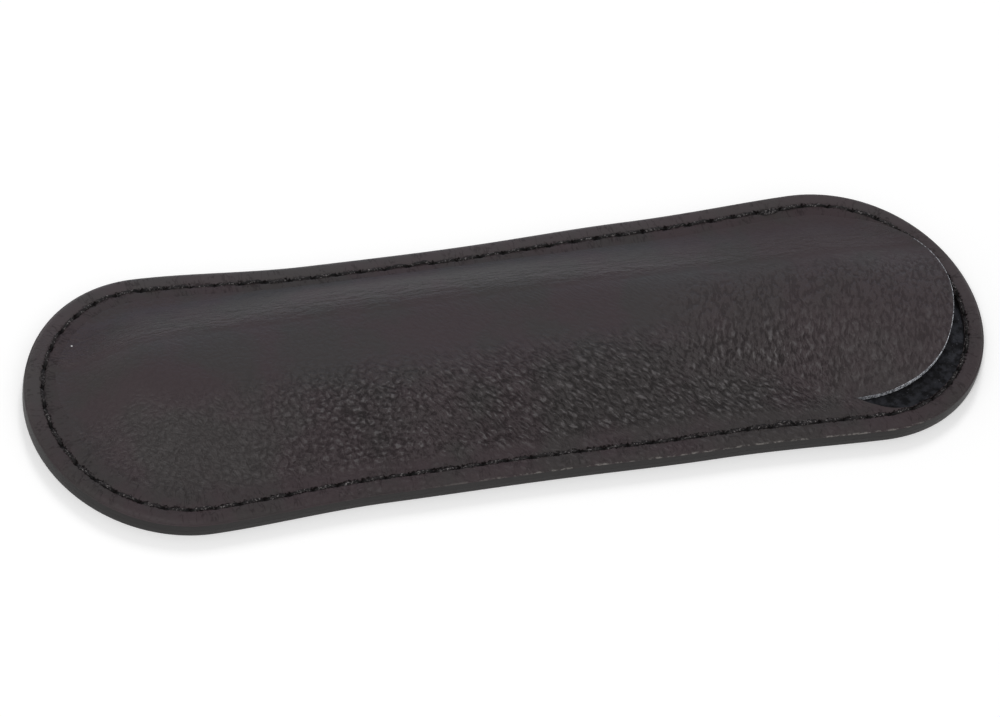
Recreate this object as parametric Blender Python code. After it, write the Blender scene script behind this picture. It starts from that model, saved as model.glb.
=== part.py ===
import math
from bisect import bisect_right

import bmesh
import bpy
from mathutils import Vector

# A leather slip pouch for one pen, lying on its back. The origin is on the table under the middle
# of the case, +X runs to the mouth and +Z up. All sizes are in metres.

# Outline: two rounded ends, joined by sides that draw in to a waist
LENGTH = 0.140
END_WIDTH = 0.0447
WAIST_WIDTH = 0.0423
END_REACH = 0.0207
WAIST_RUN = 0.025

# Sheets, from the table up, and the clear space left between two of them
BACK_LEATHER = 0.00105
LINING = 0.0004
FRONT_LEATHER = 0.0008
SHEET_GAP = 0.00025
EDGE_ROUND = 0.00025

# Seam: a lockstitch right round the case, its threads let into a channel on each face
SEAM_INSET = 0.00275
SEAM_MARGIN = 0.0006
STITCH_PITCH = 0.00355
THREAD = 0.0004
STITCH_DIP = 0.00012
STITCH_SHARES = (0, 0.24, 0.76)
CHANNEL_WIDTH = 0.001
CHANNEL_DEPTH = 0.0003
CHANNEL_FLOOR_SHARE = 0.62
THREAD_GAP = 0.00015
TABLE_GAP = 0.00005

# Dome of the front: its foot just inside the seam, its crown along the middle of the case
DOME_FOOT = 0.0009
DOME_RISE = 0.0047
DOME_CROWN_POWER = 3.4
DOME_FOOT_POWER = 1.8

# Mouth: a crescent cut in the front, between the ring of the seam and the lifted lip
MOUTH_REACH = 0.0236
MOUTH_TIP_INSET = 0.0029
MOUTH_TIP_RUN = 0.006
LIP_INSET = 0.0028
LIP_RISE = 0.0045
RING_LAND = 0.00015

# Fineness of the meshes
OUTLINE_STEPS = 48
MOUTH_STATIONS = 14
BODY_STATIONS = 34
DOME_RING_SHARES = (0.87, 0.74, 0.6, 0.43, 0.2)
SHARP_ANGLE = math.radians(35)

# Heights and places that follow
spine_half = LENGTH / 2 - END_REACH
lining_bottom = BACK_LEATHER + SHEET_GAP
lining_inset = SEAM_INSET - SEAM_MARGIN
edge_top = BACK_LEATHER + SHEET_GAP + FRONT_LEATHER
rim_top = lining_bottom + LINING + SHEET_GAP + FRONT_LEATHER
rim_slope_inset = lining_inset - SHEET_GAP
foot_inset = SEAM_INSET + DOME_FOOT
ring_inset = SEAM_INSET + CHANNEL_WIDTH / 2 + RING_LAND
tip_inset = SEAM_INSET + MOUTH_TIP_INSET
lip_inset = SEAM_INSET + LIP_INSET
crown_top = rim_top + DOME_RISE
lip_top = rim_top + LIP_RISE
back_channel_depth = TABLE_GAP + THREAD + STITCH_DIP + THREAD_GAP


def mix(a, b, share):
    return a + (b - a) * share


# Rises from 0 to 1 with level ends
def ease(share):
    share = min(max(share, 0.0), 1.0)
    return share * share * (3 - 2 * share)


def half_width(x):
    return mix(END_WIDTH, WAIST_WIDTH, ease((spine_half - abs(x)) / WAIST_RUN)) / 2


# Half of the outline, on the +Y side, from the middle of the mouth's end to that of the closed end
def half_outline():
    angles = [math.pi / 2 * k / OUTLINE_STEPS for k in range(OUTLINE_STEPS + 1)]
    quarter = [(END_REACH * math.cos(a), END_WIDTH / 2 * math.sin(a)) for a in angles]
    mouth_end = [Vector((spine_half + x, y, 0)) for x, y in quarter]
    side_x = [mix(spine_half, -spine_half, k / OUTLINE_STEPS) for k in range(1, OUTLINE_STEPS)]
    side = [Vector((x, half_width(x), 0)) for x in side_x]
    closed_end = [Vector((-spine_half - x, y, 0)) for x, y in reversed(quarter)]
    return mouth_end + side + closed_end


def lengths_along(path):
    lengths = [0.0]
    for a, b in zip(path, path[1:]):
        lengths.append(lengths[-1] + (b - a).length)
    return lengths


def point_at(path, lengths, distance):
    k = min(bisect_right(lengths, distance), len(path) - 1)
    share = (distance - lengths[k - 1]) / (lengths[k] - lengths[k - 1])
    return path[k - 1].lerp(path[k], share)


# Distance along the half outline at which it has come back to the tip of the mouth
def mouth_tip_distance(path, lengths):
    tip_x = LENGTH / 2 - MOUTH_REACH
    for k, point in enumerate(path):
        if point.x <= tip_x:
            before = path[k - 1]
            share = (before.x - tip_x) / (before.x - point.x)
            return mix(lengths[k - 1], lengths[k], share)
    return lengths[-1]


# Stations round the case, counter-clockwise from the middle of the mouth's end. Each is a place on
# the outline with its outward direction, its spine point and its distance from the mouth's middle.
class Stations:
    def __init__(self):
        path = half_outline()
        lengths = lengths_along(path)
        self.tip = mouth_tip_distance(path, lengths)
        mouth = [self.tip * k / MOUTH_STATIONS for k in range(MOUTH_STATIONS)]
        body = [mix(self.tip, lengths[-1], k / BODY_STATIONS) for k in range(BODY_STATIONS + 1)]
        half = mouth + body
        places = [point_at(path, lengths, d) for d in half]
        self.distance = half + half[-2:0:-1]
        self.place = places + [Vector((p.x, -p.y, 0)) for p in places[-2:0:-1]]
        self.count = len(self.place)
        self.outward = [self.direction(i) for i in range(self.count)]
        self.spine = [Vector((min(max(p.x, -spine_half), spine_half), 0, 0)) for p in self.place]

    def direction(self, i):
        along = self.place[(i + 1) % self.count] - self.place[i - 1]
        return Vector((along.y, -along.x, 0)).normalized()

    def inside(self, i, inset):
        return self.place[i] - self.outward[i] * inset

    # How far the mouth is open at a station: 1 at its middle, 0 from its tips on
    def openness(self, i):
        share = min(self.distance[i] / self.tip, 1.0)
        return math.cos(math.pi / 2 * share) ** 2

    def in_mouth(self, i):
        return i < MOUTH_STATIONS or i > self.count - MOUTH_STATIONS

    def loop(self, inset, height):
        return [self.inside(i, inset) + Vector((0, 0, height)) for i in range(self.count)]


# The flat rim climbs from the pressed edge to where the lining begins
def rim_height(inset):
    return mix(edge_top, rim_top, ease(inset / rim_slope_inset))


# Height of the dome at a station, where share is 1 at the dome's outer ring and 0 on the spine. The
# closed shape is level on its crown and falls to its foot in a hollow curve. The open one runs out
# from the crown to the lip.
def dome_height(stations, i, share):
    foot = (stations.inside(i, foot_inset) - stations.spine[i]).length
    ring = (stations.inside(i, tip_inset) - stations.spine[i]).length
    fall = (share * ring / foot) ** DOME_CROWN_POWER
    closed = rim_top + DOME_RISE * (1 - fall) ** DOME_FOOT_POWER
    opened = mix(crown_top, lip_top, share ** 2)
    return mix(closed, opened, stations.openness(i))


def add_loop(mesh, points):
    return [mesh.verts.new(p) for p in points]


def add_strip(mesh, outer, inner):
    for i in range(len(outer)):
        j = (i + 1) % len(outer)
        mesh.faces.new((outer[i], outer[j], inner[j], inner[i]))


# Closes a loop with faces that span from each station to its mirror image across the spine
def fill_across(mesh, loop):
    count = len(loop)
    half = count // 2
    mesh.faces.new((loop[0], loop[1], loop[-1]))
    for i in range(1, half - 1):
        mesh.faces.new((loop[i], loop[i + 1], loop[count - i - 1], loop[count - i]))
    mesh.faces.new((loop[half - 1], loop[half], loop[half + 1]))


# Gives an open sheet its underside and the cut walls along its borders
def thicken(mesh, thickness):
    mesh.normal_update()
    under = {v: mesh.verts.new(v.co - v.normal * thickness) for v in list(mesh.verts)}
    borders = [edge.link_loops[0] for edge in mesh.edges if edge.is_boundary]
    walls = [(loop.link_loop_next.vert, loop.vert) for loop in borders]
    for face in list(mesh.faces):
        mesh.faces.new([under[v] for v in reversed(face.verts)])
    for a, b in walls:
        mesh.faces.new((a, b, under[b], under[a]))
    return under


def material(name, colour, roughness):
    made = bpy.data.materials.new(name)
    made.use_nodes = True
    shader = made.node_tree.nodes["Principled BSDF"]
    shader.inputs["Base Color"].default_value = (*colour, 1)
    shader.inputs["Roughness"].default_value = roughness
    shader.inputs["Metallic"].default_value = 0
    return made


def add_piece(name, mesh, finish):
    data = bpy.data.meshes.new(name)
    mesh.to_mesh(data)
    mesh.free()
    data.shade_smooth()
    data.set_sharp_from_angle(angle=SHARP_ANGLE)
    data.materials.append(finish)
    piece = bpy.data.objects.new(name, data)
    bpy.context.scene.collection.objects.link(piece)
    return piece


# Insets of the channel's outer shoulder, its floor's two sides and its inner shoulder
def channel_insets():
    shoulder = CHANNEL_WIDTH / 2
    floor = shoulder * CHANNEL_FLOOR_SHARE
    return [SEAM_INSET + d for d in (-shoulder, -floor, floor, shoulder)]


# The formed front: a rim with the seam's channel, then the dome, with the mouth left open between
# the ring's cut edge and the lip
def front_panel(stations):
    mesh = bmesh.new()
    channel = channel_insets()
    insets = [0, EDGE_ROUND, rim_slope_inset / 2, rim_slope_inset] + channel
    rim = [add_loop(mesh, stations.loop(d, rim_height(d))) for d in insets]
    for outer, inner in zip(rim, rim[1:]):
        add_strip(mesh, outer, inner)

    ring_edge, lip_edge = [], []
    for i in range(stations.count):
        run = (stations.tip - stations.distance[i]) / MOUTH_TIP_RUN
        cut = mix(tip_inset, ring_inset, ease(run))
        ring_height = mix(dome_height(stations, i, 1), rim_top, ease(run))
        lip = mix(tip_inset, lip_inset, stations.openness(i))
        ring_place = stations.inside(i, cut) + Vector((0, 0, ring_height))
        lip_place = stations.inside(i, lip) + Vector((0, 0, dome_height(stations, i, 1)))
        ring_edge.append(mesh.verts.new(ring_place))
        lip_edge.append(mesh.verts.new(lip_place) if stations.in_mouth(i) else ring_edge[i])
    add_strip(mesh, rim[-1], ring_edge)

    outer = lip_edge
    for share in DOME_RING_SHARES:
        places = []
        for i, edge in enumerate(lip_edge):
            place = stations.spine[i].lerp(edge.co, share)
            place.z = dome_height(stations, i, share)
            places.append(place)
        inner = add_loop(mesh, places)
        add_strip(mesh, outer, inner)
        outer = inner
    fill_across(mesh, outer)

    thicken(mesh, FRONT_LEATHER)
    for vertex in rim[0]:
        vertex.co.z -= EDGE_ROUND
    for vertex in rim[-3] + rim[-2]:
        vertex.co.z -= CHANNEL_DEPTH
    return add_piece("front_panel", mesh, material("front_leather", (0.047, 0.042, 0.043), 0.5))


# The flat back, with its own channel underneath
def back_panel(stations):
    mesh = bmesh.new()
    insets = [0, EDGE_ROUND] + channel_insets()
    loops = [add_loop(mesh, stations.loop(d, BACK_LEATHER)) for d in insets]
    for outer, inner in zip(loops, loops[1:]):
        add_strip(mesh, outer, inner)
    fill_across(mesh, loops[-1])
    under = thicken(mesh, BACK_LEATHER)
    for vertex in loops[0]:
        under[vertex].co.z += EDGE_ROUND
    for vertex in loops[-3] + loops[-2]:
        under[vertex].co.z += back_channel_depth
    return add_piece("back_panel", mesh, material("back_leather", (0.035, 0.032, 0.033), 0.55))


# The suede glued to the back, caught in the seam
def back_lining(stations):
    mesh = bmesh.new()
    loop = add_loop(mesh, stations.loop(lining_inset, lining_bottom + LINING))
    fill_across(mesh, loop)
    thicken(mesh, LINING)
    return add_piece("back_lining", mesh, material("suede", (0.010, 0.011, 0.015), 0.95))


# One thread of the seam, a closed tube: level along each stitch, drawn in at each needle hole
def seam_thread(name, stations, height, dip, colour):
    seam = stations.loop(SEAM_INSET, height)
    seam.append(seam[0])
    lengths = lengths_along(seam)
    stitches = round(lengths[-1] / STITCH_PITCH)
    curve = bpy.data.curves.new(name, "CURVE")
    curve.dimensions = "3D"
    curve.twist_mode = "Z_UP"
    curve.bevel_depth = THREAD / 2
    curve.bevel_resolution = 0
    spline = curve.splines.new("POLY")
    spline.points.add(stitches * len(STITCH_SHARES) - 1)
    for k, knot in enumerate(spline.points):
        stitch, part = divmod(k, len(STITCH_SHARES))
        distance = lengths[-1] * (stitch + STITCH_SHARES[part]) / stitches
        place = point_at(seam, lengths, distance)
        if part == 0:
            place.z += dip
        knot.co = (*place, 1)
    spline.use_cyclic_u = True
    curve.materials.append(material(name, colour, 0.6))
    thread = bpy.data.objects.new(name, curve)
    bpy.context.scene.collection.objects.link(thread)
    return thread


def build_case():
    for leftover in list(bpy.data.objects):
        bpy.data.objects.remove(leftover)
    stations = Stations()
    front_panel(stations)
    back_panel(stations)
    back_lining(stations)
    upper = rim_top - CHANNEL_DEPTH + THREAD_GAP + STITCH_DIP + THREAD / 2
    lower = TABLE_GAP + THREAD / 2
    seam_thread("needle_thread", stations, upper, -STITCH_DIP, (0.012, 0.012, 0.014))
    seam_thread("bobbin_thread", stations, lower, STITCH_DIP, (0.012, 0.012, 0.014))


build_case()
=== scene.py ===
import bpy
import numpy as np
from mathutils import Matrix, Vector


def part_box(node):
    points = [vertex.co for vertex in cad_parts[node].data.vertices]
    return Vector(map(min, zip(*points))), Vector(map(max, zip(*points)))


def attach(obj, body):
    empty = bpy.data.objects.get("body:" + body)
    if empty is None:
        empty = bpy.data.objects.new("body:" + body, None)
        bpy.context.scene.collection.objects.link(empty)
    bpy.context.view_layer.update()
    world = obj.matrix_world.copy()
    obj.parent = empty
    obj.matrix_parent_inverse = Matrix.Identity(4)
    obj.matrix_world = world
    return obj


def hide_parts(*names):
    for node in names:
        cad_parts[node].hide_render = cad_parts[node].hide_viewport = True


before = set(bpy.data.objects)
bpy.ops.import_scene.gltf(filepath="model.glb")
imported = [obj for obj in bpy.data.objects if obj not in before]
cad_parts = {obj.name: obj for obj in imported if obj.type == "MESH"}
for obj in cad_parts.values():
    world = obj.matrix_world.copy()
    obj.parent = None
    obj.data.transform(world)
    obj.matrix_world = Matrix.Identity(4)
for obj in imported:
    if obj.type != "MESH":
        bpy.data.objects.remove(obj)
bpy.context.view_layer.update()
mm = 0.001  # shapes are worked out in millimetres and built in metres
print("frame loaded:", ", ".join(sorted(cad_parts)))

frontLow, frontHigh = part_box("front_panel")
liningLow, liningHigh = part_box("back_lining")

# The outline and the seam, which every piece follows
caseShape = {
    "length": (frontHigh.x - frontLow.x) / mm,
    "endWidth": (frontHigh.y - frontLow.y) / mm,
    "waistWidth": 42.3,
    "endReach": 20.7,       # from the tip of a rounded end to where the sides begin
    "waistRun": 25.0,       # over which a side draws in to the waist
    "seamInset": 2.65,
    "stitches": 89,
    "mouthReach": (23.6, 12.7),  # from the end back to the mouth's tips, on the near and the far side
    "mouthMiddle": 5.1,     # how far the widest place of the mouth lies to the near side
    "mouthPower": 1.1,      # higher is flatter towards the tips
    "tipRun": (9.5, 17.0),  # over which the cut closes in to its tips
    "tipPower": 2.2,        # higher is blunter at the near tip
    # How far the hand-cut edge strays outwards: cosine and sine of 0, 1, 2 ... waves round it
    "strayWaves": [(0.267, 0), (0.105, 0.071), (0.077, 0.039), (-0.084, 0.118), (-0.038, -0.04),
                   (0.113, -0.054), (0.016, 0.015), (-0.038, -0.048), (-0.091, 0.002), (-0.04, -0.018)],
    "strayInsets": (2.6, 4.4),  # between which the leather stops following the stray edge
    "outlineSteps": (600, 1200),  # places worked out on a quarter ellipse and on a side
}


def mix(a, b, share):
    return a + (b - a) * share


# From the place before each to the place after it, round a closed line
def stepsOver(points, axis=0):
    return np.roll(points, -1, axis) - np.roll(points, 1, axis)


def unit(vectors):
    return vectors / np.maximum(np.linalg.norm(vectors, axis=-1, keepdims=True), 1e-12)


# Rises from 0 to 1 with level ends: 3t^2 - 2t^3
def ease(t):
    t = np.clip(t, 0, 1)
    return t * t * (3 - 2 * t)


# A smooth bump of height 1 and the given half width: e to the minus square
def bell(distance, width):
    return np.exp(-(distance / width) ** 2)


# Half the width of the case at places along it: a side is eased in to the waist
def halfWidth(shape, x):
    spine = shape["length"] / 2 - shape["endReach"]
    drawn = ease((spine - abs(x)) / shape["waistRun"])
    return mix(shape["endWidth"], shape["waistWidth"], drawn) / 2


# Places evenly spread along the seam, counter-clockwise from the middle of the mouth's end. The
# outline is a quarter ellipse, a side eased in to the waist and a quarter ellipse, then mirrored.
def walkSeam(shape, count):
    spine = shape["length"] / 2 - shape["endReach"]
    endSteps, sideSteps = shape["outlineSteps"]
    turn = np.linspace(0, np.pi / 2, endSteps)
    endX, endY = shape["endReach"] * np.cos(turn), shape["endWidth"] / 2 * np.sin(turn)
    sideX = np.linspace(spine, -spine, sideSteps)[1:-1]
    sideY = halfWidth(shape, sideX)
    halfX = np.r_[spine + endX, sideX, -spine - endX[::-1]]
    halfY = np.r_[endY, sideY, endY[::-1]]
    edge = np.stack([np.r_[halfX, halfX[-2:0:-1]], np.r_[halfY, -halfY[-2:0:-1]]], axis=1)

    along = unit(stepsOver(edge))
    outward = np.stack([along[:, 1], -along[:, 0]], axis=1)
    seam = edge - outward * shape["seamInset"]
    edgeRun = runAlong(edge)
    seamRun = runAlong(seam)
    tips = np.interp(np.array(shape["mouthReach"]) - shape["length"] / 2, -halfX, edgeRun[:len(halfX)])
    fromMouth = np.minimum(edgeRun[:-1], edgeRun[-1] - edgeRun[:-1]) * np.where(edge[:, 1] < 0, -1, 1)

    angle = 2 * np.pi * edgeRun[:-1] / edgeRun[-1]
    waves = enumerate(shape["strayWaves"])
    stray = sum(a * np.cos(n * angle) + b * np.sin(n * angle) for n, (a, b) in waves)

    target = np.arange(count) / count * seamRun[-1]
    pick = lambda values: np.interp(target, seamRun, np.r_[values, values[:1]])
    place = np.stack([pick(edge[:, 0]), pick(edge[:, 1])], axis=1)
    outward = unit(np.stack([pick(outward[:, 0]), pick(outward[:, 1])], axis=1))
    spinePlace = np.stack([np.clip(place[:, 0], -spine, spine), np.zeros(count)], axis=1)
    fromMouth = np.interp(target, seamRun[:-1], fromMouth)
    near, far = tips[0] + fromMouth, tips[1] - fromMouth
    middle = shape["mouthMiddle"]
    share = np.clip(np.minimum(near / (tips[0] - middle), far / (tips[1] + middle)), 0, 1)
    nearRun = 1 - np.clip(1 - near / shape["tipRun"][0], 0, 1) ** shape["tipPower"]
    farRun = ease(far / shape["tipRun"][1])
    return {
        "place": place, "outward": outward, "spine": spinePlace, "count": count, "stray": pick(stray),
        "stitch": np.arange(count) * shape["stitches"] / count,
        "pitch": seamRun[-1] / shape["stitches"],
        "halfWidth": halfWidth(shape, place[:, 0]),
        "open": np.sin(np.pi / 2 * share) ** shape["mouthPower"],
        "inMouth": share > 0,
        "fromMouth": fromMouth,
        "cutRun": np.minimum(nearRun, farRun) * (share > 0),
    }


# Running length of a closed line of points, from 0 to its whole length
def runAlong(points):
    steps = np.linalg.norm(np.roll(points, -1, axis=0) - points, axis=1)
    return np.r_[0, np.cumsum(steps)]


# Places at an inset from the outline; insets may be a column of rows or a grid of rows and stations
def inside(walk, insets):
    insets = np.broadcast_to(insets, (np.shape(insets)[0], walk["count"]))
    start, end = caseShape["strayInsets"]
    insets = insets - walk["stray"] * ease((end - insets) / (end - start))
    return walk["place"] - walk["outward"] * insets[..., None]


def withHeight(places, heights):
    heights = np.broadcast_to(heights, places.shape[:-1])
    return np.concatenate([places, heights[..., None]], axis=-1)


# Unit normals of a grid whose rows run inwards and whose columns go round: along cross inwards
def gridNormals(points):
    return unit(np.cross(stepsOver(points, axis=1), np.gradient(points, axis=0)))


# Slow waves of the leather, a sum of sines of place with fixed phases
def slowWaves(points, waves):
    x, y = points[..., 0], points[..., 1]
    total = 0
    for alongX, alongY, phase, height in waves:
        total = total + height * np.sin(x * alongX + y * alongY + phase)
    return total


insetScale = 10  # millimetres of inset, or stitches of a thread, to one unit of the seam's UV map
withinSeam = 9.0  # the inset that this map gives to what lies well inside the seam


# Collects the vertices and faces of one piece. A grid is a block of vertex numbers, rows running
# inwards and columns going round, and each face keeps its column numbers for the seam's UV map.
class PieceMesh:
    def __init__(self):
        self.points, self.insets, self.faces, self.columns, self.slots = [], [], [], [], []
        self.total = 0

    def addGrid(self, points, insets=withinSeam):
        rows, count = points.shape[:2]
        numbers = self.total + np.arange(rows * count).reshape(rows, count)
        self.points.append(points.reshape(-1, 3))
        self.insets.append(np.broadcast_to(insets, (rows, count)).reshape(-1))
        self.total += rows * count
        return numbers

    # Faces between each two rows of vertex numbers, where keep says so; rows may come in blocks
    def strips(self, rows, slot=0, keep=None):
        numbers = np.vstack(rows)
        count = numbers.shape[1]
        nextColumn = np.roll(numbers, -1, axis=1)
        quads = np.stack([numbers[:-1], nextColumn[:-1], nextColumn[1:], numbers[1:]], axis=-1)
        column = np.arange(count)
        corners = np.stack([column, column + 1, column + 1, column], axis=-1)
        corners = np.broadcast_to(corners, quads.shape)
        if keep is not None:
            quads, corners = quads[:, keep], corners[:, keep]
        self.addFaces(quads.reshape(-1, 4), corners.reshape(-1, 4), slot)

    # Closes a loop with faces from each station to its mirror image across the spine
    def fillAcross(self, loop, slot=0, downwards=False):
        count = len(loop)
        i = np.arange(1, count // 2 - 1)
        columns = np.stack([i, i + 1, count - i - 1, count - i], axis=-1)
        ends = np.array([[0, 1, count - 1], [count // 2 - 1, count // 2, count // 2 + 1]])
        for block in (columns, ends):
            faces = loop[block]
            self.addFaces(faces[:, ::-1] if downwards else faces, block, slot)

    def addFaces(self, faces, columns, slot):
        self.faces += faces.tolist()
        self.columns += columns.tolist()
        self.slots += [slot] * len(faces)

    def build(self, name, materials, stitchesPerColumn, sharpAngle=40):
        points, insets = np.concatenate(self.points), np.concatenate(self.insets)
        corners = np.concatenate([np.array(face) for face in self.faces])
        used, inverse = np.unique(corners, return_inverse=True)
        cuts = np.cumsum([len(face) for face in self.faces])[:-1]
        mesh = bpy.data.meshes.new(name)
        mesh.from_pydata(points[used] * mm, [], [face.tolist() for face in np.split(inverse, cuts)])
        stitches = np.concatenate(self.columns) * stitchesPerColumn
        uv = np.stack([stitches, insets[corners] / insetScale], axis=1)
        mesh.uv_layers.new(name="seam").data.foreach_set("uv", uv.astype(np.float32).reshape(-1))
        for material in materials:
            mesh.materials.append(material)
        mesh.polygons.foreach_set("material_index", self.slots)
        mesh.shade_smooth()
        mesh.set_sharp_from_angle(angle=np.radians(sharpAngle))
        mesh.update()
        return addObject(name, mesh)


def addObject(name, data):
    made = bpy.data.objects.new(name, data)
    bpy.context.scene.collection.objects.link(made)
    return made


# Wraps a socket, so that shader maths is written as Python expressions
class Socket:
    def __init__(self, book, socket):
        self.book, self.socket = book, socket

    def __add__(self, other):
        return self.book.maths("ADD", self, other)

    def __sub__(self, other):
        return self.book.maths("SUBTRACT", self, other)

    def __rsub__(self, other):
        return self.book.maths("SUBTRACT", other, self)

    def __mul__(self, other):
        return self.book.maths("MULTIPLY", self, other)

    __radd__ = __add__
    __rmul__ = __mul__


# A node tree: node() adds any node, sets its settings, then its sockets
class NodeBook:
    def __init__(self, tree):
        self.tree = tree

    def node(self, kind, settings=None, sockets=None, output=0):
        made = self.tree.nodes.new(kind)
        for setting, value in (settings or {}).items():
            setattr(made, setting, value)
        for key, value in (sockets or {}).items():
            self.feed(made.inputs[key], value)
        return Socket(self, made.outputs[output])

    def feed(self, target, value):
        if isinstance(value, Socket):
            self.tree.links.new(value.socket, target)
        else:
            target.default_value = value

    def maths(self, operation, *values):
        return self.node("ShaderNodeMath", {"operation": operation}, dict(enumerate(values)))

    def vectorMaths(self, operation, *values, output=0):
        settings = {"operation": operation}
        return self.node("ShaderNodeVectorMath", settings, dict(enumerate(values)), output)

    # Object coordinates in millimetres
    def millimetres(self):
        return self.stretched(self.node("ShaderNodeTexCoord", output="Object"), (1 / mm,) * 3)

    def part(self, vector, axis):
        return self.node("ShaderNodeSeparateXYZ", {}, {0: vector}, axis)

    def vector(self, *parts):
        return self.node("ShaderNodeCombineXYZ", {}, dict(enumerate(parts)))

    # Stitch number along the seam, and inset from the outline in millimetres
    def seamPlace(self):
        uv = self.node("ShaderNodeUVMap", {"uv_map": "seam"})
        return self.part(uv, 0), self.part(uv, 1) * insetScale

    # Whichever is larger
    def largest(self, first, *others):
        for other in others:
            first = self.maths("MAXIMUM", first, other)
        return first

    # Length of the vector that has these numbers
    def length(self, *parts):
        return self.vectorMaths("LENGTH", self.vector(*parts), output="Value")

    # How far the vector reaches in a direction
    def along(self, vector, direction):
        direction = Vector(direction).normalized()[:]
        return self.vectorMaths("DOT_PRODUCT", vector, direction, output="Value")

    # How far a number is from the middle between two whole numbers
    def fromMiddle(self, value):
        return self.maths("FRACT", value) - 0.5

    # A smooth step from 0 at one value to 1 at another
    def step(self, value, start, end):
        settings = {"interpolation_type": "SMOOTHSTEP"}
        return self.node("ShaderNodeMapRange", settings, {0: value, 1: start, 2: end})

    # 1 within a band of values, fading to 0 from the reach of one step to that of the other
    def band(self, value, rising, falling):
        return self.step(value, *rising) * self.step(value, *falling)

    def noise(self, vector, size, detail=3, roughness=0.55, output=0):
        sockets = {"Vector": vector, "Scale": 1 / size, "Detail": detail, "Roughness": roughness}
        return self.node("ShaderNodeTexNoise", {}, sockets, output)

    # Cells of about the given size: distance to a cell's middle, F1, or to its edge, DISTANCE_TO_EDGE
    def cells(self, vector, size, feature):
        sockets = {"Vector": vector, "Scale": 1 / size}
        return self.node("ShaderNodeTexVoronoi", {"feature": feature}, sockets)

    # The vector pushed about by noise of the given size, by up to about the given reach
    def shaken(self, vector, size, reach):
        colours = self.noise(vector, size, detail=2, output=1)
        push = self.vectorMaths("SUBTRACT", colours, (0.5, 0.5, 0.5))
        return self.vectorMaths("MULTIPLY_ADD", push, (2 * reach,) * 3, vector)

    # The vector leaned over, its x moved by lean times y, and then stretched
    def leaned(self, vector, lean, factors):
        x, y, z = (self.part(vector, axis) for axis in range(3))
        return self.stretched(self.vector(x + y * lean, y, z), factors)

    def stretched(self, vector, factors):
        return self.vectorMaths("MULTIPLY", vector, factors)

    def between(self, share, a, b):
        return self.node("ShaderNodeMix", {"data_type": "FLOAT"}, {0: share, 2: a, 3: b})

    def blend(self, share, a, b):
        return self.node("ShaderNodeMix", {"data_type": "RGBA"}, {"Factor": share, 6: a, 7: b}, 2)

    def bump(self, height, depth, normal=None):
        sockets = {"Height": height, "Distance": depth * mm, "Strength": 1.0}
        if normal is not None:
            sockets["Normal"] = normal
        return self.node("ShaderNodeBump", {}, sockets)


# A material and its node tree; its gloss and other constants go straight onto its shader's sockets
class MaterialBook(NodeBook):
    def __init__(self, name, gloss, constants=None):
        self.material = bpy.data.materials.new(name)
        self.material.use_nodes = True
        super().__init__(self.material.node_tree)
        self.shader = self.tree.nodes["Principled BSDF"]
        for socket, value in {"Specular IOR Level": gloss, **(constants or {})}.items():
            self.shader.inputs[socket].default_value = value

    # Painted shade: mixes in a black, dull surface by a share, where creases and holes lie in shade
    def paintShade(self, share):
        shadeSurface = {"Base Color": (0.003, 0.0025, 0.0025, 1), "Roughness": 1.0, "Specular IOR Level": 0.0}
        shadeSurface = self.node("ShaderNodeBsdfPrincipled", {}, shadeSurface)
        surface = Socket(self, self.shader.outputs[0])
        shaded = self.node("ShaderNodeMixShader", {}, {0: share, 1: surface, 2: shadeSurface})
        self.feed(self.tree.nodes["Material Output"].inputs["Surface"], shaded)

    def finish(self, **sockets):
        for name, value in sockets.items():
            self.feed(self.shader.inputs[name.replace("_", " ")], value)
        return self.material


# A display colour of 0 to 255 as the shader's linear colour
def tint(red, green, blue):
    values = np.array([red, green, blue]) / 255
    linear = np.where(values <= 0.04045, values / 12.92, ((values + 0.055) / 1.055) ** 2.4)
    return (*linear.tolist(), 1.0)


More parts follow.
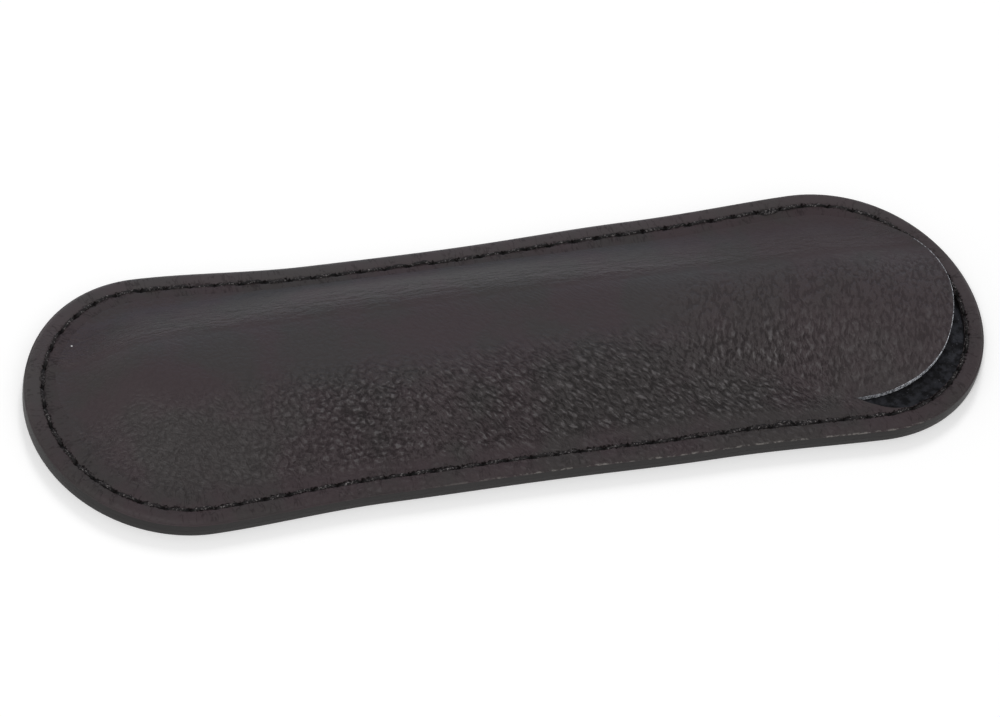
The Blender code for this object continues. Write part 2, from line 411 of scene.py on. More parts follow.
# The leather. Sizes and depths are in millimetres.
grain = {
    "pebble": 1.0,          # size of the pebbles, and the share of one that slopes into its crease
    "valley": 0.3,
    "pebbleMiddle": 0.6,    # their mean height, and how much they count beside the noise in them
    "pebbleShare": 0.22,
    "stroke": 0.5,          # size of that noise
    # Lean, stretch and the noise's roughness at the closed end, on the slope and at the mouth
    "kinds": ((0.0, (0.8, 1.0, 1.0), 0.62), (0.8, (1.0, 0.72, 0.72), 0.62),
              (-0.2, (1.0, 0.45, 0.45), 0.5)),
    "shakes": ((3.0, 0.5), (0.7, 0.16)),  # size and reach of what makes them uneven
    "border": 2.2,          # size of the noise that makes the borders uneven
    "fine": 0.42,           # size of the finest grain
    "depth": 0.6,           # of the pebbles
    "crownDepth": 0.12,     # shares of it on the crown and at the mouth, and what the rim loses
    "mouthDepth": 0.6,
    "rimLoss": 0.75,
    "slopeKeeps": 0.42,     # what the slope keeps at the closed end, and loses at the mouth's end
    "slopeLoses": 0.5,
    "mouthWidening": 7,     # how far the mouth's grain spreads to the near side at its end
    "depthSpread": (0.65, 0.7),   # least share of the depth, and what the borders' noise adds
    "flatRelief": 0.05,     # relief of the pebbles and of the finest grain where the leather is smooth
    "fineRelief": 0.03,
    "fineDeep": 0.12,       # and what the depth adds to the finest grain
    "creaseLevels": (0.35, 0.44),  # heights between which the painted shade of creases ends, and between which painted highlights on pebble tops begin
    "paintedLightLevels": (0.66, 0.8),
    "fineInHighlights": 0.25,
    # Stretch, size and depth of the lengthwise streaks on the far shoulder
    "streaks": ((0.28, 1.0, 1.0), 0.8, 0.7),
    # How close folds across the rim lie along and across it, their depth, and where painted shade turns
    # them black
    "folds": ((3.2, 0.3), 0.07),
    "pleatLevels": (0.0, 0.045),
    "pleatPatches": (0.42, 0.58),
    "patch": 11,            # size of the patches of colour
    "patchLevels": (0.4, 0.6),
    "warmColour": tint(52, 41, 44),
    "greenColour": tint(48, 43, 43),
    "mouthColour": tint(57, 48, 50),
    "mouthShare": 0.5,
    # The painted highlight's colour, and how far the pebble tops and the far rim are painted with it
    "paintedLightColour": tint(92, 88, 89),
    "pebbleHighlightShare": 0.8,
    "farRimLightShare": 0.2,
    # How far painted shade takes creases, needle holes, the seam's trough and folds towards black
    "shadeShares": (0.4, 0.92, 0.85, 0.35),
    "slotScale": 3.6,       # how fast a needle hole ends along the seam, and the trough across it
    "troughScale": 2.4,
    "slotLevels": (0.5, 1.0),
    "troughLevels": (0.45, 1.05),
    "ragged": 3.0,          # how ragged both are
    "farTroughLoss": 0.45,
    # Size of the cells with a speck of dust in the middle, the speck's share of it, its colour
    "dust": (16, (0.011, 0.006), tint(205, 205, 205)),
    "gloss": 0.5,
    "roughness": 0.45,
    "roughened": (0.12, 0.14, 0.16),  # what the finest grain, the rim and the dome at the mouth add
    # Stretch, size, levels, share and colour of the painted highlight along the near arris
    "arrisHighlight": ((0.5, 1.0, 1.0), 0.6, (0.46, 0.6), 0.65, tint(134, 130, 126)),
    # Where the leather changes, along the case, across it or inwards from its edge: from where to
    # where a share goes from 0 to 1, and how far noise shifts that. A pair of pairs is a band.
    "places": {
        "mouth": (20, 36, 10),  # the grain that is drawn out across the case near the mouth
        "mouthNear": (-10, -4, 5),
        "mouthFar": (12, 5, 6),
        "mouthWidens": (30, 50),
        "slope": (4.0, -4.5, 5),  # the deep grain of the near slope
        "slopeStart": (-43, -18, 8),
        "slopeEnd": (36, 50),
        "closedEnd": (-2, -20, 8),
        "dull": (22, 44),       # the duller dome near the mouth
        "dullAcross": (2, 8),
        "farSide": (-8, 8),
        "farTrough": (-4, 6),
        "shoulder": ((7, 9.5), (15.5, 12.5)),
        "nearEdge": (-12, -17),
        "arrisHighlightSide": ((-24, 2), (62, 50)),
        "rim": (6.0, 4.0),
        "onRim": (3.0, 2.2),
        "pleats": ((8.9, 6.0), (0.25, 0.6)),
        "arris": ((0.0, 0.1), (0.34, 0.16)),
    },
}


# Pebbles parted by creases, broken up by noise
def pebbled(book, vector, lean, stretch, roughness):
    vector = book.leaned(vector, lean, stretch)
    cells = book.cells(vector, grain["pebble"], "DISTANCE_TO_EDGE")
    pebbles = (book.step(cells, 0.0, grain["valley"]) - grain["pebbleMiddle"]) * grain["pebbleShare"]
    return book.noise(vector, grain["stroke"], roughness=roughness) + pebbles


# Pebbled leather: rounded cells parted by creases, deep on the near slope, drawn out across the
# case near its mouth and almost rubbed away on the crown, with lengthwise streaks on the far
# shoulder. Painted highlights lighten the pebble tops of the near slope and the far rim, and a
# painted highlight runs along the near arris. Painted shade takes the seam's trough, its needle
# holes, the creases and the rim's folds towards black.
def leatherMaterial(name, withArrisHighlight=True):
    book = MaterialBook(name, grain["gloss"])
    place = book.millimetres()
    x, y = book.part(place, 0), book.part(place, 1)
    stitch, inset = book.seamPlace()
    uneven = book.noise(place, grain["border"], detail=2)
    places = grain["places"]

    def share(value, where):
        start, end, *shift = places[where]
        return book.step(value + uneven * shift[0] if shift else value, start, end)

    widened = y + share(x, "mouthWidens") * grain["mouthWidening"]
    nearMouth = share(x, "mouth") * share(widened, "mouthNear") * share(y, "mouthFar")
    keeps = grain["slopeKeeps"]
    nearSlope = share(y, "slope") * (keeps + (1 - keeps) * share(x, "slopeStart"))
    nearSlope = nearSlope * (1 - grain["slopeLoses"] * share(x, "slopeEnd"))
    rim, onRim = share(inset, "rim"), share(inset, "onRim")

    loose = place
    for size, reach in grain["shakes"]:
        loose = book.shaken(loose, size, reach)
    level, slanted, upright = (pebbled(book, loose, *kind) for kind in grain["kinds"])
    strokes = book.between(nearMouth, book.between(share(x, "closedEnd"), slanted, level), upright)
    lumps = book.noise(loose, grain["fine"])
    fine = book.noise(place, grain["fine"], roughness=0.65)

    least, spread = grain["depthSpread"]
    deep = book.largest(nearSlope, nearMouth * grain["mouthDepth"], grain["crownDepth"])
    deep = deep * (1 - rim * grain["rimLoss"]) * (least + uneven * spread)
    # Painted highlights: the pebble tops of the near slope are lightened
    pebbleHighlights = book.step(strokes + fine * grain["fineInHighlights"], *grain["paintedLightLevels"]) * nearSlope * deep
    # Painted shade in the creases between the pebbles
    crease = (1 - book.step(strokes, *grain["creaseLevels"])) * deep
    fineRelief = fine * (grain["fineRelief"] + deep * grain["fineDeep"])
    normal = book.bump(strokes * (grain["flatRelief"] + deep) + fineRelief, grain["depth"])

    stretch, size, depth = grain["streaks"]
    streaks = book.noise(book.stretched(loose, stretch), size, detail=4, roughness=0.6)
    normal = book.bump(streaks * book.band(y, *places["shoulder"]), depth, normal)

    (closeAlong, closeAcross), depth = grain["folds"]
    folds = book.noise(book.vector(stitch * closeAlong, inset * closeAcross), 1.0)
    normal = book.bump(folds * onRim, depth, normal)
    # Painted shade: black pleat lines along the folds on the rim
    pleats = 1 - book.step(book.maths("ABSOLUTE", folds - 0.5), *grain["pleatLevels"])
    pleats = pleats * book.step(uneven, *grain["pleatPatches"]) * book.band(inset, *places["pleats"])

    # Painted shade along the seam: a black pit at each needle hole and a black trough beside the thread
    aside = (inset - caseShape["seamInset"]) * grain["troughScale"] + (lumps - 0.5) * grain["ragged"]
    fromHole = book.fromMiddle(stitch + 0.5) * grain["slotScale"]
    slot = 1 - book.step(book.length(fromHole, aside), *grain["slotLevels"])
    trough = 1 - book.step(book.maths("ABSOLUTE", aside), *grain["troughLevels"])
    trough = trough * (1 - grain["farTroughLoss"] * share(y, "farTrough"))
    # Painted shade: creases, needle holes, the trough and the pleats go towards a black, dull surface
    paintedShade = zip((crease, slot, trough, pleats), grain["shadeShares"])
    book.paintShade(book.largest(*(mask * most for mask, most in paintedShade)))

    patches = book.step(book.noise(place, grain["patch"]), *grain["patchLevels"])
    colour = book.blend(patches, grain["warmColour"], grain["greenColour"])
    colour = book.blend(nearMouth * grain["mouthShare"], colour, grain["mouthColour"])
    # Painted light: the far side of the rim is lightened towards the highlight colour
    farRimLight = onRim * share(y, "farSide") * grain["farRimLightShare"]
    colour = book.blend(book.largest(pebbleHighlights * grain["pebbleHighlightShare"], farRimLight), colour, grain["paintedLightColour"])
    size, levels, dustColour = grain["dust"]
    colour = book.blend(book.step(book.cells(place, size, "F1"), *levels), colour, dustColour)
    if withArrisHighlight:
        # Painted highlight in flecks along the near arris, on the near side only
        stretch, size, levels, arrisHighlightShare, arrisHighlightColour = grain["arrisHighlight"]
        arrisHighlight = book.noise(book.stretched(place, stretch), size, detail=4, roughness=0.7)
        arrisHighlight = book.step(arrisHighlight, *levels) * book.band(inset, *places["arris"])
        arrisHighlight = arrisHighlight * share(y, "nearEdge") * book.band(x, *places["arrisHighlightSide"])
        colour = book.blend(arrisHighlight * arrisHighlightShare, colour, arrisHighlightColour)

    roughness = grain["roughness"]
    for mask, added in zip((fine, rim, share(x, "dull") * share(y, "dullAcross")), grain["roughened"]):
        roughness = roughness + mask * added
    return book.finish(Base_Color=colour, Roughness=roughness, Normal=normal)


# Finishes made of one or two noises, each with its size, detail and roughness. They have weights in
# the relief and in the share of the second colour, where only the first counts if none are given.
# That share may go from 0 to 1 between two levels.
plainFinishes = {
    # The pressed and painted edge: smooth, faintly ribbed along the case
    "paintedEdge": {
        "noises": ((0.9, 3, 0.55), (0.18, 2, 0.55)),
        "stretch": (0.35, 0.35, 3.0),  # of the first noise
        "relief": (0.7, 0.3),
        "depth": 0.05,
        "colours": (tint(27, 25, 25), tint(38, 35, 35)),
        "roughness": 0.42,
        "roughened": 0.15,  # how much the second noise adds
        "gloss": 0.35,
    },
    # The raw cut of the lip: pale grey felted fibres
    "rawCut": {
        "noises": ((0.24, 4, 0.75), (0.7, 2, 0.55)),
        "depth": 0.06,
        "colouring": (0.7, 0.3),
        "levels": (0.41, 0.6),
        "colours": (tint(48, 49, 53), tint(212, 215, 222)),
        "roughness": 0.9,
        "gloss": 0.2,
    },
    # Flesh side of the front leather, seen only from low down through the mouth
    "fleshSide": {
        "noises": ((0.25, 4, 0.7),),
        "depth": 0.08,
        "colours": (tint(52, 51, 52), tint(86, 84, 84)),
        "roughness": 0.95,
        "gloss": 0.2,
    },
    # Blue-black suede: soft tufts with a fine nap, paler where it is rubbed, with specks of lint
    "suede": {
        "noises": ((1.1, 3, 0.55), (0.22, 4, 0.75)),
        "relief": (0.6, 0.6),
        "depth": 0.14,
        "levels": (0.38, 0.66),
        "colours": (tint(7, 7, 12), tint(46, 47, 53)),
        "lint": (0.3, (0.7, 0.78), 0.5, tint(112, 114, 120)),  # size, levels, share and colour
        "roughness": 0.95,
        "gloss": 0.15,
        "constants": {"Sheen Weight": 0.08, "Sheen Roughness": 0.6},
    },
}


def plainMaterial(name):
    look = plainFinishes[name]
    book = MaterialBook(name, look["gloss"], look.get("constants"))
    place = book.millimetres()
    first = book.stretched(place, look["stretch"]) if "stretch" in look else place
    noises = [book.noise(vector, *noise) for vector, noise in zip((first, place), look["noises"])]
    share = weighted(noises, look.get("colouring"))
    if "levels" in look:
        share = book.step(share, *look["levels"])
    colour = book.blend(share, *look["colours"])
    if "lint" in look:
        size, levels, lintShare, lintColour = look["lint"]
        lint = book.step(book.noise(place, size, detail=1), *levels)
        colour = book.blend(lint * lintShare, colour, lintColour)
    roughness = look["roughness"]
    if "roughened" in look:
        roughness = noises[1] * look["roughened"] + roughness
    normal = book.bump(weighted(noises, look.get("relief")), look["depth"])
    return book.finish(Base_Color=colour, Roughness=roughness, Normal=normal)


def weighted(noises, weights):
    if weights is None:
        return noises[0]
    return sum(noise * weight for noise, weight in zip(noises, weights))


waxedThread = {
    "strand": 0.09,         # size of the strands, and depth of their relief
    "depth": 0.03,
    "paintedLightLevels": (0.4, 0.2),  # how far from its middle the painted highlight on a stitch fades to black, as shares of its length
    "topShift": 0.5,        # how far noise shifts that, and the size of the noise
    "topNoise": 1.5,
    "colours": (tint(9, 8, 8), tint(46, 43, 44)),
    "speck": 0.3,           # size of the painted glints
    "speckLevels": (0.54, 0.64),
    "speckStrength": 1.3,
    "speckColour": tint(140, 135, 135),
    "roughness": (0.6, 0.2),  # and what the strands add
    "gloss": 0.2,
}


# Waxed thread: black, with a painted highlight on top of each stitch that fades to black towards
# the holes, and painted glints on that highlight. On a thread, the seam's UV map gives the stitch
# number in the place of the inset.
def threadMaterial():
    look = waxedThread
    book = MaterialBook("thread", look["gloss"])
    place = book.millimetres()
    strands = book.noise(place, look["strand"], roughness=0.7)
    stitch = book.seamPlace()[1]
    fromTop = book.maths("ABSOLUTE", book.fromMiddle(stitch))
    shift = (book.noise(place, look["topNoise"], detail=2) - 0.5) * look["topShift"]
    # Painted highlight on top of each stitch, fading to black towards the holes
    lit = strands * book.step(fromTop + shift, *look["paintedLightLevels"])
    # Painted glints on that highlight
    specks = book.step(book.noise(place, look["speck"], roughness=0.7), *look["speckLevels"])
    colour = book.blend(lit, *look["colours"])
    colour = book.blend(specks * lit * look["speckStrength"], colour, look["speckColour"])
    smooth, rough = look["roughness"]
    normal = book.bump(strands, look["depth"])
    return book.finish(Base_Color=colour, Roughness=smooth + strands * rough, Normal=normal)


frontShape = {
    "wallFoot": 1.06,       # where the front's edge meets the back's
    "edgeTop": 2.15,
    "arris": 0.2,           # radius of the edge's upper corner
    "belly": 0.08,          # how far the edge draws in at its top
    "rimTop": 2.65,
    "rimRounding": 0.3,     # how fast the rim rises from its edge
    "leather": 0.85,        # thickness
    "foot": 3.65,           # inset of the dome's foot at the waist
    "footDraw": 1.3,        # how much of the widening towards the ends the foot gives back
    "domeRise": 4.7,
    "crownPower": (3.4, 2.3),  # in the middle and at the ends; higher is flatter on top
    "crownMiddle": (-12.0, 8.0, 40.0),  # where the middle lies, how far it goes, the run to the ends
    "footPower": 1.8,       # higher is gentler at the foot
    "lean": 2.0,            # how far the crown leans to the far side
    "ringInset": 2.95,      # inset of the ring's cut edge in the mouth
    "tipInset": (6.1, 4.1),  # of the mouth's tips, on the near and the far side
    "tipBlend": 20,         # width over which one gives way to the other
    "lipInset": 4.4,
    "lipDraw": (0.6, -9.0, 9.0),  # how much further in the lip lies, where, and over what reach
    "lipRise": 4.4,
    "lipLeather": 0.46,     # thickness of the lip, pared from below
    "pareRun": 0.12,        # over which it is pared, as a share of the dome
    "rubbedTo": 11.0,       # how far along the far side, and how open, its edge is rubbed to fibres
    "rubbedFrom": 0.3,
    "pareEdge": 0.9955,     # share of the dome to which the fibres reach
    "channel": 0.09,        # how far the seam draws the leather down
    "channelWidth": 0.5,
    "hole": 0.36,
    "holeReach": (0.62, 0.3),  # half length and half width of a needle hole
    # Slow waves of the dome: turn per millimetre along and across, phase, height
    "waves": [(0.11, 0.05, 0.4, 0.10), (0.23, -0.17, 2.1, 0.05), (0.06, 0.31, 4.0, 0.07)],
    "columnsPerStitch": 8,
    "wallRows": 4,          # rows of the mesh on the wall, the arris, the ring and the dome
    "arrisRows": 6,
    "ringRows": 28,
    "domeRows": 43,
    "domeShares": (0.98, 0.05),  # from the first of the dome's rows to the last, near the spine
    "ringUnderRows": [3, 8, 14, 20, 27],  # the underside needs fewer of them
    "domeUnderRows": [0, 1, 4, 9, 16, 24, 32, 44],
}


# Height of the closed dome: rise (1 - t^crown)^foot, t being 0 on the spine and 1 at its foot, with
# the crown leaning to the far side by lean (1 - t^2)
def closedDome(walk, shape, places):
    wider = walk["halfWidth"] - caseShape["waistWidth"] / 2
    foot = walk["place"] - walk["outward"] * (shape["foot"] + shape["footDraw"] * wider)[:, None]
    reach = np.linalg.norm(foot - walk["spine"], axis=-1)
    t = np.linalg.norm(places - walk["spine"], axis=-1) / reach
    leaning = np.stack([0 * t, shape["lean"] * np.clip(1 - t ** 2, 0, 1)], axis=-1)
    t = np.linalg.norm(places - leaning - walk["spine"], axis=-1) / reach
    middle, reach, run = shape["crownMiddle"]
    power = mix(*shape["crownPower"], ease((abs(places[..., 0] - middle) - reach) / run))
    return shape["domeRise"] * np.clip(1 - t ** power, 0, 1) ** shape["footPower"]


# The pull of the seam at an inset: a shallow trough along it, and a pit at each needle hole
def seamPull(walk, shape, insets):
    across = insets - caseShape["seamInset"]
    along = ((walk["stitch"] + 0.5) % 1 - 0.5) * walk["pitch"]
    reachAlong, reachAcross = shape["holeReach"]
    pits = bell(np.hypot(along / reachAlong, across / reachAcross), 1)
    return shape["channel"] * bell(across, shape["channelWidth"]) + shape["hole"] * pits


# The front leather. Its ring runs from the edge to the cut, and its dome from the lip to the spine.
# Outside the mouth both share one line of vertices, and in the mouth they part.
def makeFront(materials):
    shape = frontShape
    walk = walkSeam(caseShape, caseShape["stitches"] * shape["columnsPerStitch"])

    wallHeights = np.linspace(shape["wallFoot"], shape["edgeTop"] - shape["arris"], shape["wallRows"])
    wallInsets = shape["belly"] * ((wallHeights - shape["wallFoot"]) / shape["wallFoot"]) ** 2
    turn = np.linspace(0, np.pi / 2, shape["arrisRows"])[1:]
    arrisInsets = wallInsets[-1] + shape["arris"] * (1 - np.cos(turn))
    arrisHeights = shape["edgeTop"] - shape["arris"] * (1 - np.sin(turn))
    edgeInsets = np.r_[wallInsets, arrisInsets][:, None]
    edgeHeights = np.r_[wallHeights, arrisHeights][:, None]
    edgePoints = withHeight(inside(walk, edgeInsets), edgeHeights)

    tipInset = mix(*shape["tipInset"], ease(walk["place"][:, 1] / shape["tipBlend"] + 0.5))
    cut = mix(tipInset, shape["ringInset"], walk["cutRun"])
    shares = np.linspace(0, 1, shape["ringRows"])[:, None]
    insets = mix(arrisInsets[-1], cut, shares)
    places = inside(walk, insets)
    edgeward = np.exp((arrisInsets[-1] - insets) / shape["rimRounding"])
    rim = mix(shape["rimTop"], shape["edgeTop"], edgeward)
    rise = closedDome(walk, shape, places) * (1 - walk["cutRun"])
    ring = withHeight(places, rim + rise)
    ringUnder = ring - gridNormals(ring) * shape["leather"]
    ring[..., 2] -= seamPull(walk, shape, insets)

    lipInset = mix(tipInset, shape["lipInset"], walk["open"])
    draw, where, reach = shape["lipDraw"]
    lip = inside(walk, (lipInset + draw * bell(walk["fromMouth"] - where, reach))[None])
    domeShares = np.linspace(*shape["domeShares"], shape["domeRows"])
    domeShares = np.r_[1, shape["pareEdge"], domeShares][:, None]
    places = mix(walk["spine"], lip, domeShares[..., None])
    closed = closedDome(walk, shape, places)
    opened = mix(shape["domeRise"], shape["lipRise"], domeShares ** 2)
    dome = withHeight(places, shape["rimTop"] + mix(closed, opened, walk["open"]))
    dome[..., 2] += slowWaves(dome, shape["waves"]) * (1 - domeShares ** 2)
    pared = walk["open"] * ease(1 - (1 - domeShares) / shape["pareRun"])
    thickness = mix(shape["leather"], shape["lipLeather"], pared)[..., None]
    domeUnder = dome - gridNormals(dome) * thickness

    mesh = PieceMesh()
    edgeRows = mesh.addGrid(edgePoints, edgeInsets)
    ringRows = mesh.addGrid(ring[1:], insets[1:])
    domeRows = mesh.addGrid(dome)
    domeRows[0] = np.where(walk["inMouth"], domeRows[0], ringRows[-1])
    ringPick = shape["ringUnderRows"]
    ringUnderRows = mesh.addGrid(ringUnder[ringPick], insets[ringPick])
    domeUnderRows = mesh.addGrid(domeUnder[shape["domeUnderRows"]])
    domeUnderRows[0] = np.where(walk["inMouth"], domeUnderRows[0], ringUnderRows[-1])

    leather, paint, rawCut, flesh = 0, 1, 2, 3
    wall = shape["wallRows"]
    mesh.strips(edgeRows[:wall + 1], paint)
    mesh.strips([edgeRows[wall:], ringRows], leather)
    rubbed = (walk["open"] > shape["rubbedFrom"]) & (walk["fromMouth"] < shape["rubbedTo"])
    mesh.strips(domeRows[:2], rawCut, rubbed)
    mesh.strips(domeRows[:2], leather, ~rubbed)
    mesh.strips(domeRows[1:], leather)
    mesh.fillAcross(domeRows[-1], leather)
    mesh.strips(ringUnderRows[::-1], flesh)
    mesh.strips(domeUnderRows[::-1], flesh)
    mesh.fillAcross(domeUnderRows[-1], flesh, downwards=True)
    mesh.strips([ringUnderRows[0], edgeRows[0]], paint)
    cutCells = walk["inMouth"] | np.roll(walk["inMouth"], -1)
    mesh.strips([ringRows[-1], ringUnderRows[-1]], paint, cutCells)
    mesh.strips([domeUnderRows[0], domeRows[0]], rawCut, cutCells)
    return mesh.build("frontPanel", materials, 1 / shape["columnsPerStitch"])


backShape = {
    "edgeTop": 1.04,
    "arris": 0.22,          # radius of the edge's lower corner
    "belly": 0.08,
    "bellyMiddle": (0.4, 0.6),  # shares of the belly and of the height at its middle row
    "topInset": 1.0,        # how far in its flat top begins
    "channel": 0.3,         # how far the seam draws the underside up
    "channelWidth": 0.5,
    "hole": 0.1,
    "holeReach": (0.6, 0.34),
    "underReach": 4.6,      # inset to which the seam shapes the underside
    "columnsPerStitch": 8,
    "arrisRows": 6,
    "underRows": 24,
    "paintedRows": 4,       # from the top of its edge, with the first of the arris
}


# The back leather: flat on the table, its seam's trough underneath, its edge rounded below
def makeBack(materials):
    shape = backShape
    walk = walkSeam(caseShape, caseShape["stitches"] * shape["columnsPerStitch"])
    turn = np.linspace(0, np.pi / 2, shape["arrisRows"])
    wallInset = shape["belly"] * ((shape["edgeTop"] - shape["arris"]) / shape["edgeTop"]) ** 2
    arrisInsets = wallInset + shape["arris"] * (1 - np.cos(turn))
    arrisHeights = shape["arris"] * (1 - np.sin(turn))
    bellyInset, bellyHeight = shape["bellyMiddle"]
    edgeInsets = np.r_[0, wallInset * bellyInset, arrisInsets][:, None]
    edgeHeights = np.r_[shape["edgeTop"], shape["edgeTop"] * bellyHeight, arrisHeights][:, None]
    under = np.linspace(arrisInsets[-1], shape["underReach"], shape["underRows"])[1:, None]
    under = under * np.ones(walk["count"])
    underPoints = withHeight(inside(walk, under), seamPull(walk, shape, under))
    middle = withHeight(mix(walk["spine"], underPoints[-1, :, :2], 0.5)[None], 0.0)

    mesh = PieceMesh()
    edgeRows = mesh.addGrid(withHeight(inside(walk, edgeInsets), edgeHeights), edgeInsets)
    underRows = mesh.addGrid(underPoints, under)
    middleRows = mesh.addGrid(middle)
    top = withHeight(inside(walk, np.array([[shape["topInset"]]])), shape["edgeTop"])
    topRows = mesh.addGrid(top, shape["topInset"])
    leather, paint = 0, 1
    painted, bare = np.split(edgeRows, [shape["paintedRows"]])
    mesh.strips(painted[::-1], paint)
    mesh.strips(np.vstack([painted[-1], bare, underRows, middleRows])[::-1], leather)
    mesh.fillAcross(middleRows[0], leather, downwards=True)
    mesh.strips([edgeRows[0], topRows[0]], paint)
    mesh.fillAcross(topRows[0], leather)
    return mesh.build("backPanel", materials, 1 / shape["columnsPerStitch"])


liningShape = {
    "inset": (frontHigh.y - liningHigh.y) / mm,
    "bottom": liningLow.z / mm,
    "top": liningHigh.z / mm,
    "tuft": 0.05,           # how deep the nap goes
    # Waves of the nap: turn per millimetre along and across, phase, share of the tuft
    "waves": [(2.3, 0.7, 0.3, 0.3), (-1.1, 2.9, 1.7, 0.3), (3.7, -2.2, 4.4, 0.2), (0.9, 4.1, 2.9, 0.2)],
    "columns": 480,
    "rows": 40,
    "lastRow": 0.05,        # share of the way out from the spine
}


# The suede on the back: a flat sheet whose nap stands a little uneven
def makeLining(materials):
    shape = liningShape
    walk = walkSeam(caseShape, shape["columns"])
    rim = inside(walk, np.array([[shape["inset"]]]))[0]
    shares = np.linspace(1, shape["lastRow"], shape["rows"])[:, None, None]
    top = withHeight(mix(walk["spine"], rim, shares), shape["top"] - shape["tuft"])
    top[1:, :, 2] += shape["tuft"] * slowWaves(top[1:], shape["waves"])
    bottom = withHeight(rim[None], shape["bottom"])
    mesh = PieceMesh()
    topRows = mesh.addGrid(top)
    bottomRows = mesh.addGrid(bottom)
    mesh.strips(topRows)
    mesh.fillAcross(topRows[-1])
    mesh.strips([bottomRows[0], topRows[0]])
    mesh.fillAcross(bottomRows[0], downwards=True)
    lining = mesh.build("backLining", materials, caseShape["stitches"] / shape["columns"])
    following = np.roll(rim, -1, axis=0)
    area = abs(np.sum(rim[:, 0] * following[:, 1] - following[:, 0] * rim[:, 1])) / 2
    return lining


threadShape = {
    "radius": 0.25,
    "samples": 18,          # places along a stitch
    "around": 12,
    "plies": 3,
    "plyDepth": 0.2,
    "twists": 232,          # whole turns of the plies round the case
    # Height of the thread's middle on a stitch and in a hole, how far a stitch leans across the
    # seam, and the seed of its straying
    "needle": (2.53, 1.9, 0.32, 1),
    "bobbin": (0.5, 0.75, -0.32, 2),
    "archPower": 3.2,       # higher is flatter on top and steeper in the hole
    "wander": 0.09,         # how far stitches stray to a side, and the share of that upwards
    "wanderUp": 0.6,
    "sewnTwice": ((75, 78), (8, 10)),  # the needle thread's doubled stitches
    "beside": (0.24, 0.1),  # how far their second run lies inwards and up, and its seed
    "secondSeed": 3,
}


# A twisted cord along a path: each section is a circle whose radius swells with the plies,
# r (1 + depth cos(plies angle - twist)), turning as it runs. An open path has a face at each end.
def twistedTube(mesh, path, side, up, stitch, closed=True):
    shape = threadShape
    twist = stitch / caseShape["stitches"] * shape["twists"] * 2 * np.pi
    angle = np.linspace(0, 2 * np.pi, shape["around"], endpoint=False)
    lobes = 1 + shape["plyDepth"] * np.cos(shape["plies"] * angle[None, :] - twist[:, None])
    radius = shape["radius"] * lobes
    points = (path[:, None] + side[:, None] * (radius * np.cos(angle))[..., None]
              + up[:, None] * (radius * np.sin(angle))[..., None])
    numbers = mesh.addGrid(points, stitch[:, None])
    rings = np.vstack([numbers, numbers[0]]) if closed else numbers
    mesh.strips(rings[::-1])
    if not closed:
        for face in (numbers[:1], numbers[-1:, ::-1]):
            mesh.addFaces(face, np.zeros_like(face), 0)


# Side and up directions of a path, square to it, side lying level
def pathFrames(path, closed):
    along = unit(stepsOver(path) if closed else np.gradient(path, axis=0))
    side = unit(np.cross(along, [0, 0, 1]))
    return side, np.cross(side, along)


# A thread's path through all stitches, or through those of a span, with its frames and the stitch
# number of each place. Down in the hole at a stitch's ends and level on top: 1 - |2t - 1|^3.2.
def stitchPath(crest, hole, slant, seed, sideways=0.0, span=None):
    shape = threadShape
    samples, whole = shape["samples"], caseShape["stitches"]
    walk = walkSeam(caseShape, whole * samples)
    first, last = span or (0, whole)
    pick = np.arange(first * samples, last * samples)
    share = pick / samples % 1
    stitch = pick // samples % whole
    dice = np.random.default_rng(seed)
    wander = dice.normal(0, shape["wander"], whole)[stitch]
    lift = dice.normal(0, shape["wander"], whole)[stitch] * shape["wanderUp"]
    arch = 1 - abs(2 * share - 1) ** shape["archPower"]
    insets = caseShape["seamInset"] - walk["stray"][pick] + sideways
    insets = insets + (slant * (share - 0.5) + wander) * arch
    places = walk["place"][pick] - walk["outward"][pick] * insets[:, None]
    path = withHeight(places, mix(hole, crest + lift * np.sign(crest - hole), arch))
    side, up = pathFrames(path, closed=span is None)
    return path, side, up, pick / samples


def makeThread(name, materials, crest, hole, slant, seed, doubled=()):
    mesh = PieceMesh()
    twistedTube(mesh, *stitchPath(crest, hole, slant, seed))
    beside, over = threadShape["beside"]
    for span in doubled:
        run = stitchPath(crest + over, hole, slant, threadShape["secondSeed"], beside, span)
        twistedTube(mesh, *run, closed=False)
    return mesh.build(name, materials, 0, sharpAngle=180)


leather = leatherMaterial("frontLeather")
backLeather = leatherMaterial("backLeather", withArrisHighlight=False)
paintedEdge, rawCut, fleshSide, suede = (plainMaterial(name) for name in plainFinishes)
thread = threadMaterial()
print("materials made")

needle, bobbin, doubled = (threadShape[key] for key in ("needle", "bobbin", "sewnTwice"))
pieces = [
    (makeFront([leather, paintedEdge, rawCut, fleshSide]), "front_panel", "front_leather"),
    (makeBack([backLeather, paintedEdge]), "back_panel", "back_leather"),
    (makeLining([suede]), "back_lining", "suede"),
    (makeThread("needleThread", [thread], *needle, doubled), "needle_thread", "thread"),
    (makeThread("bobbinThread", [thread], *bobbin), "bobbin_thread", "thread"),
]
for piece, node, finish in pieces:
    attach(piece, "root")
    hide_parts(node)
print("pieces made")

# The camera, looking down on the case from the side of its closed end
cameraView = {
    "azimuth": -26.49,
    "elevation": 48.16,
    "roll": 12.77,
    "distance": 985.1,
    "right": -1.44,         # what the camera looks at, from the origin, in its own directions
    "up": 0.31,
    "above": 0.68,
    "focal": 7.0,           # focal length, in widths of the picture
    "clip": (0.05, 20),     # in metres
}


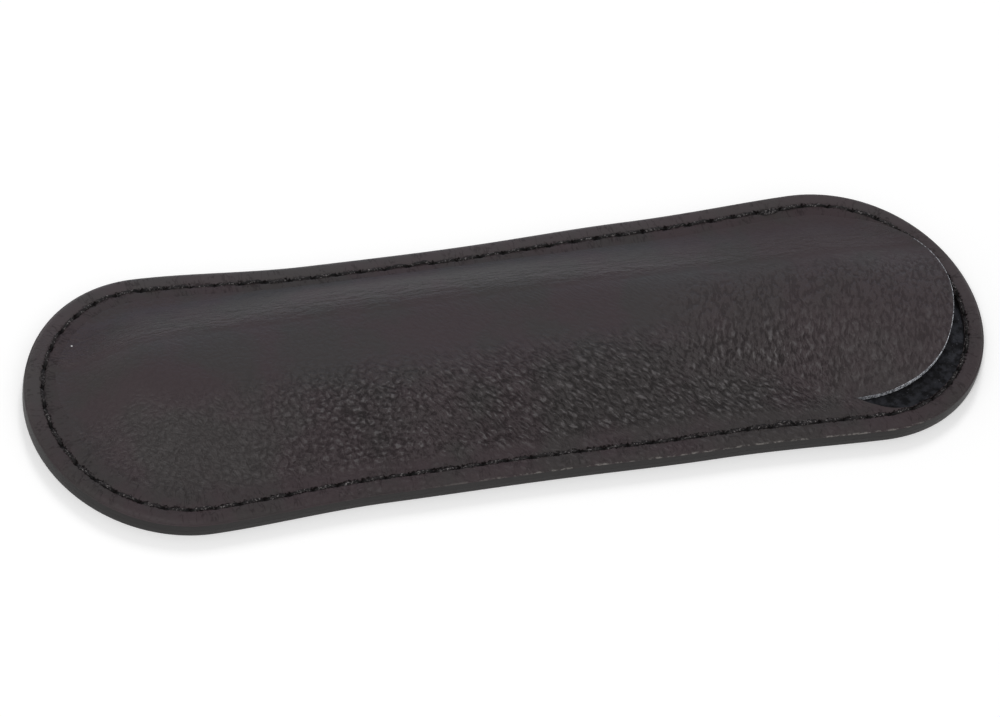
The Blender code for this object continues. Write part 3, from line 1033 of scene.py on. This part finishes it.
def makeCamera(view):
    azimuth, elevation, roll = np.radians([view["azimuth"], view["elevation"], view["roll"]])
    level = np.cos(elevation)
    back = Vector((np.sin(azimuth) * level, -np.cos(azimuth) * level, np.sin(elevation)))
    right = Vector((np.cos(azimuth), np.sin(azimuth), 0))
    up = back.cross(right)
    place = back * view["distance"] + right * view["right"] + up * view["up"]
    place += Vector((0, 0, view["above"]))
    tilted = np.cos(roll) * right + np.sin(roll) * up
    upright = -np.sin(roll) * right + np.cos(roll) * up
    camera = addObject("camera", bpy.data.cameras.new("camera"))
    camera.data.lens = view["focal"] * camera.data.sensor_width
    camera.data.clip_start, camera.data.clip_end = view["clip"]
    camera.matrix_world = Matrix((tilted, upright, back)).transposed().to_4x4()
    camera.location = place * mm
    bpy.context.scene.camera = camera


studio = {
    "wallTop": (0.96, 0.84),    # sines of the heights between which the white walls end
    "wallLight": 0.5,           # light of the white walls on the pieces
    "wallShine": (0.3, 0.54),   # how bright they look in gloss, at the floor and higher up
    "wallFoot": (0.0, 0.5),     # sines of the heights between which that rises
    "windowPlace": (0.3, 0.94, 0.2),
    "windowReach": (0.86, 0.985),  # cosines of the angles over which the window fades
    "windowShine": 0.18,
    "windowColour": (0.74, 0.98, 1.25, 1),
    "ceilingLight": 0.3,
    "fill": ((0.36, 0.96, 0.72), 0.34, 4.9),   # place, size and power of the lamps
    "key": ((-0.42, -0.54, 0.98), 0.42, 5.0),
    "floorReach": 6.0,
    "floorColour": tint(238, 238, 238),
    "floorGlow": 0.23,
}
black, white = (0, 0, 0, 1), (1, 1, 1, 1)


# A pale floor that keeps the shadow, white walls under a dimmer ceiling, a bluish window that only
# gloss sees, and two soft lamps
def makeStudio(settings):
    floorMesh = bpy.data.meshes.new("floor")
    corners = np.array([(-1, -1, 0), (1, -1, 0), (1, 1, 0), (-1, 1, 0)]) * settings["floorReach"]
    floorMesh.from_pydata(corners, [], [(0, 1, 2, 3)])
    floor = addObject("floor", floorMesh)
    book = MaterialBook("paleFloor", 0.0, {"Roughness": 1.0, "Emission Strength": 1.0})
    glow = book.blend(seenRays(book) * settings["floorGlow"], black, white)
    floorMesh.materials.append(book.finish(Base_Color=settings["floorColour"], Emission_Color=glow))

    world = bpy.data.worlds.new("surroundings")
    world.use_nodes = True
    bpy.context.scene.world = world
    book = NodeBook(world.node_tree)
    direction = book.node("ShaderNodeTexCoord", output="Generated")
    fromCamera = book.node("ShaderNodeLightPath", output="Is Camera Ray")
    walls = book.step(book.part(direction, 2), *settings["wallTop"])
    height = book.step(book.part(direction, 2), *settings["wallFoot"])
    window = book.step(book.along(direction, settings["windowPlace"]), *settings["windowReach"])
    shine = book.between(height, *settings["wallShine"]) + window * settings["windowShine"]
    level = book.between(seenRays(book), settings["wallLight"], shine)
    level = book.between(walls, settings["ceilingLight"], level)
    level = book.between(fromCamera, level, 1.0)
    colour = book.blend(window * seenRays(book), white, settings["windowColour"])
    colour = book.blend(fromCamera, colour, white)
    background = world.node_tree.nodes["Background"]
    book.feed(background.inputs["Strength"], level)
    book.feed(background.inputs["Color"], colour)

    fill = addLamp("fillLamp", *settings["fill"])
    fill.visible_glossy = False
    addLamp("keyLamp", *settings["key"])


# A round soft lamp that looks at the middle of the case
def addLamp(name, place, size, power):
    lamp = addObject(name, bpy.data.lights.new(name, "AREA"))
    lamp.data.shape = "DISK"
    lamp.data.size = size
    lamp.data.energy = power
    lamp.location = place
    lamp.rotation_mode = "QUATERNION"
    lamp.rotation_quaternion = lamp.location.to_track_quat("Z", "Y")
    return lamp


# 1 for rays from the camera, from gloss and through glass, so that all of them see the white set
def seenRays(book):
    kinds = ("Camera", "Glossy", "Transmission")
    return book.largest(*(book.node("ShaderNodeLightPath", output=f"Is {kind} Ray") for kind in kinds))


makeCamera(cameraView)
makeStudio(studio)
bpy.context.scene.view_settings.view_transform = "Standard"
print("camera and lights made")
